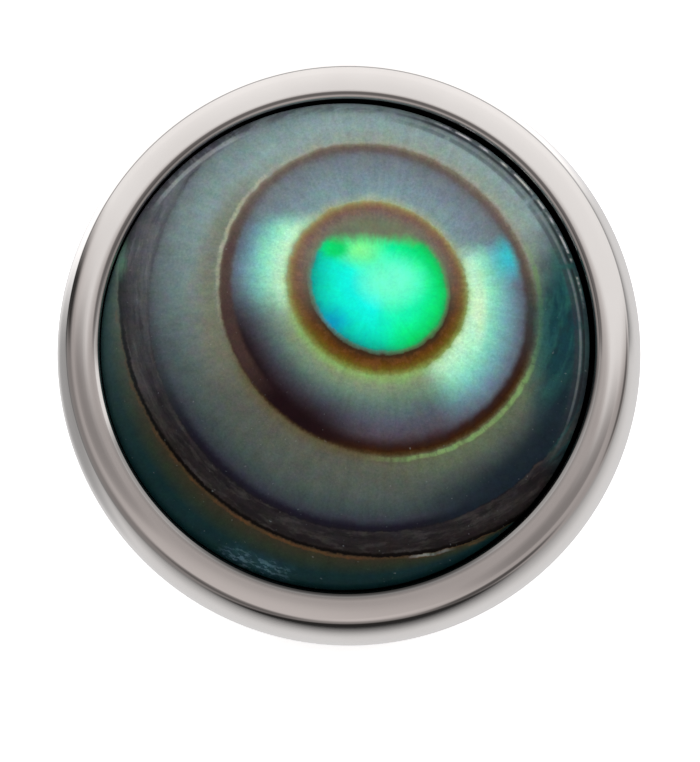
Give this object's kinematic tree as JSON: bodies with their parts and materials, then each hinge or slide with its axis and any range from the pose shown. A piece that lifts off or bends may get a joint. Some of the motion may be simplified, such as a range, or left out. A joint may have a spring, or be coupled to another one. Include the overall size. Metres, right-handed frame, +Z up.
{
  "type": "threaded piercing top with an abalone cabochon",
  "caption": "Round polished metal cup holding a domed abalone shell, with a right-hand threaded post on its flat back for internally threaded body jewellery.",
  "frame": {"origin": "middle of the resting part's footprint, on the table that it rests on", "axes": "+Z up from the table; the head leans on the edge of its back and on the post, so its shell faces up and towards -Y, and +X runs along the head's width"},
  "size_m": [0.006, 0.0057, 0.0048],
  "materials": {
    "polished_cup": "mirror-polished titanium, a warm light grey",
    "threaded_metal": "machined titanium with a cut thread",
    "abalone_shell": "polished shell with nested growth rings and a green eye"
  },
  "bodies": {
    "root": {"bezel_cup": "polished_cup", "threaded_post": "threaded_metal", "abalone_cabochon": "abalone_shell"}
  },
  "joints": []
}
